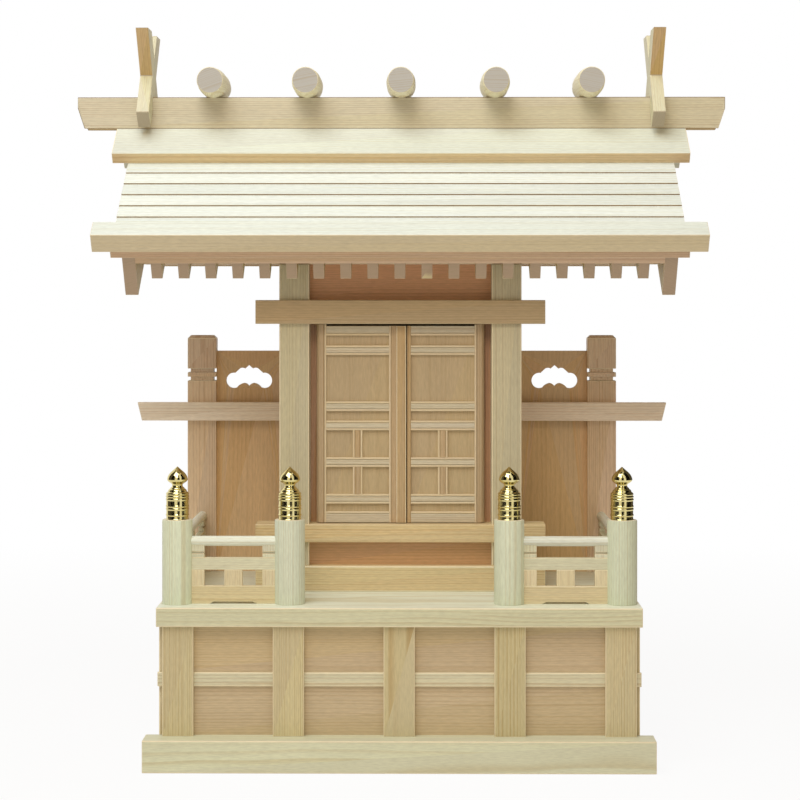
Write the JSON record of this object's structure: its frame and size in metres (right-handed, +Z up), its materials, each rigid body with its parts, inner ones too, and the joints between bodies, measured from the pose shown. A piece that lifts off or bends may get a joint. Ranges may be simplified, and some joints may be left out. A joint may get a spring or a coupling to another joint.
{
  "type": "household shrine",
  "caption": "Household wooden shrine on a railed deck over a boarded base, with a gabled roof, crossed ridge finials, pierced side screens and pivot doors that open forward.",
  "frame": {"origin": "middle of the footprint, on the shelf that carries the plinth", "axes": "+Z up, the doors face -Y, +X to the right seen from the front"},
  "size_m": [0.5356, 0.263, 0.5771],
  "materials": {
    "plinth_timber": "planed bare cypress",
    "base_boards": "planed bare cypress",
    "base_posts": "planed bare cypress",
    "base_ties": "planed bare cypress",
    "deck_board": "planed bare cypress",
    "railing_posts": "planed bare cypress",
    "cap_brass": "polished",
    "railing_boards": "planed bare cypress",
    "top_rails": "planed bare cypress",
    "sill_timber": "planed bare cypress",
    "infill_boards": "planed bare cypress",
    "columns": "planed bare cypress",
    "head_beam": "planed bare cypress",
    "wall_boards": "planed bare cypress",
    "door_jambs": "planed bare cypress",
    "roof_timber": "planed bare cypress",
    "screen_posts": "planed bare cypress",
    "screen_boards": "planed bare cypress",
    "screen_rails": "planed bare cypress",
    "rafters": "planed bare cypress",
    "roof_sheathing": "planed bare cypress",
    "roof_boards": "planed bare cypress",
    "eave_bars": "planed bare cypress",
    "eave_battens": "planed bare cypress",
    "barge_boards": "planed bare cypress",
    "ridge_covers": "planed bare cypress",
    "ridge_beam": "planed bare cypress",
    "ridge_logs": "planed bare cypress",
    "forked_finials": "planed bare cypress",
    "door_frames": "planed bare cypress",
    "door_panels": "planed bare cypress"
  },
  "bodies": {
    "shrine": {"plinth_beams": "plinth_timber", "plinth_sides": "plinth_timber", "base_front_panel": "base_boards", "base_back_panel": "base_boards", "base_side_panels": "base_boards", "base_posts": "base_posts", "base_ties": "base_ties", "deck_board": "deck_board", "railing_posts": "railing_posts", "post_caps": "cap_brass", "front_rail_boards": "railing_boards", "side_rail_boards": "railing_boards", "top_rails": "top_rails", "ground_sill": "sill_timber", "infill_panels": "infill_boards", "sill_beam": "sill_timber", "columns": "columns", "head_beam": "head_beam", "side_walls": "wall_boards", "back_wall": "wall_boards", "sanctuary_floor": "wall_boards", "door_jambs": "door_jambs", "purlins": "roof_timber", "screen_posts": "screen_posts", "screen_panels": "screen_boards", "screen_rails": "screen_rails", "rafters": "rafters", "roof_sheathing_front": "roof_sheathing", "roof_sheathing_back": "roof_sheathing", "roof_boards_front": "roof_boards", "roof_boards_back": "roof_boards", "eave_bars": "eave_bars", "eave_battens": "eave_battens", "barge_boards_front": "barge_boards", "barge_boards_back": "barge_boards", "ridge_covers_front": "ridge_covers", "ridge_covers_back": "ridge_covers", "ridge_beam": "ridge_beam", "ridge_logs": "ridge_logs", "forked_finials": "forked_finials"},
    "door_left": {"door_left_frame": "door_frames", "door_left_panel": "door_panels", "door_left_cover_strip": "door_frames"},
    "door_right": {"door_right_frame": "door_frames", "door_right_panel": "door_panels"}
  },
  "joints": [
    {"name": "door_left_pivot", "type": "hinge", "parent": "shrine", "child": "door_left", "pos_m": [-0.0636, -0.0155, 0.256], "axis": [0, 0, -1], "range_deg": [0, 95]},
    {"name": "door_right_pivot", "type": "hinge", "parent": "shrine", "child": "door_right", "pos_m": [0.0636, -0.0155, 0.256], "axis": [0, 0, 1], "range_deg": [0, 95]}
  ]
}
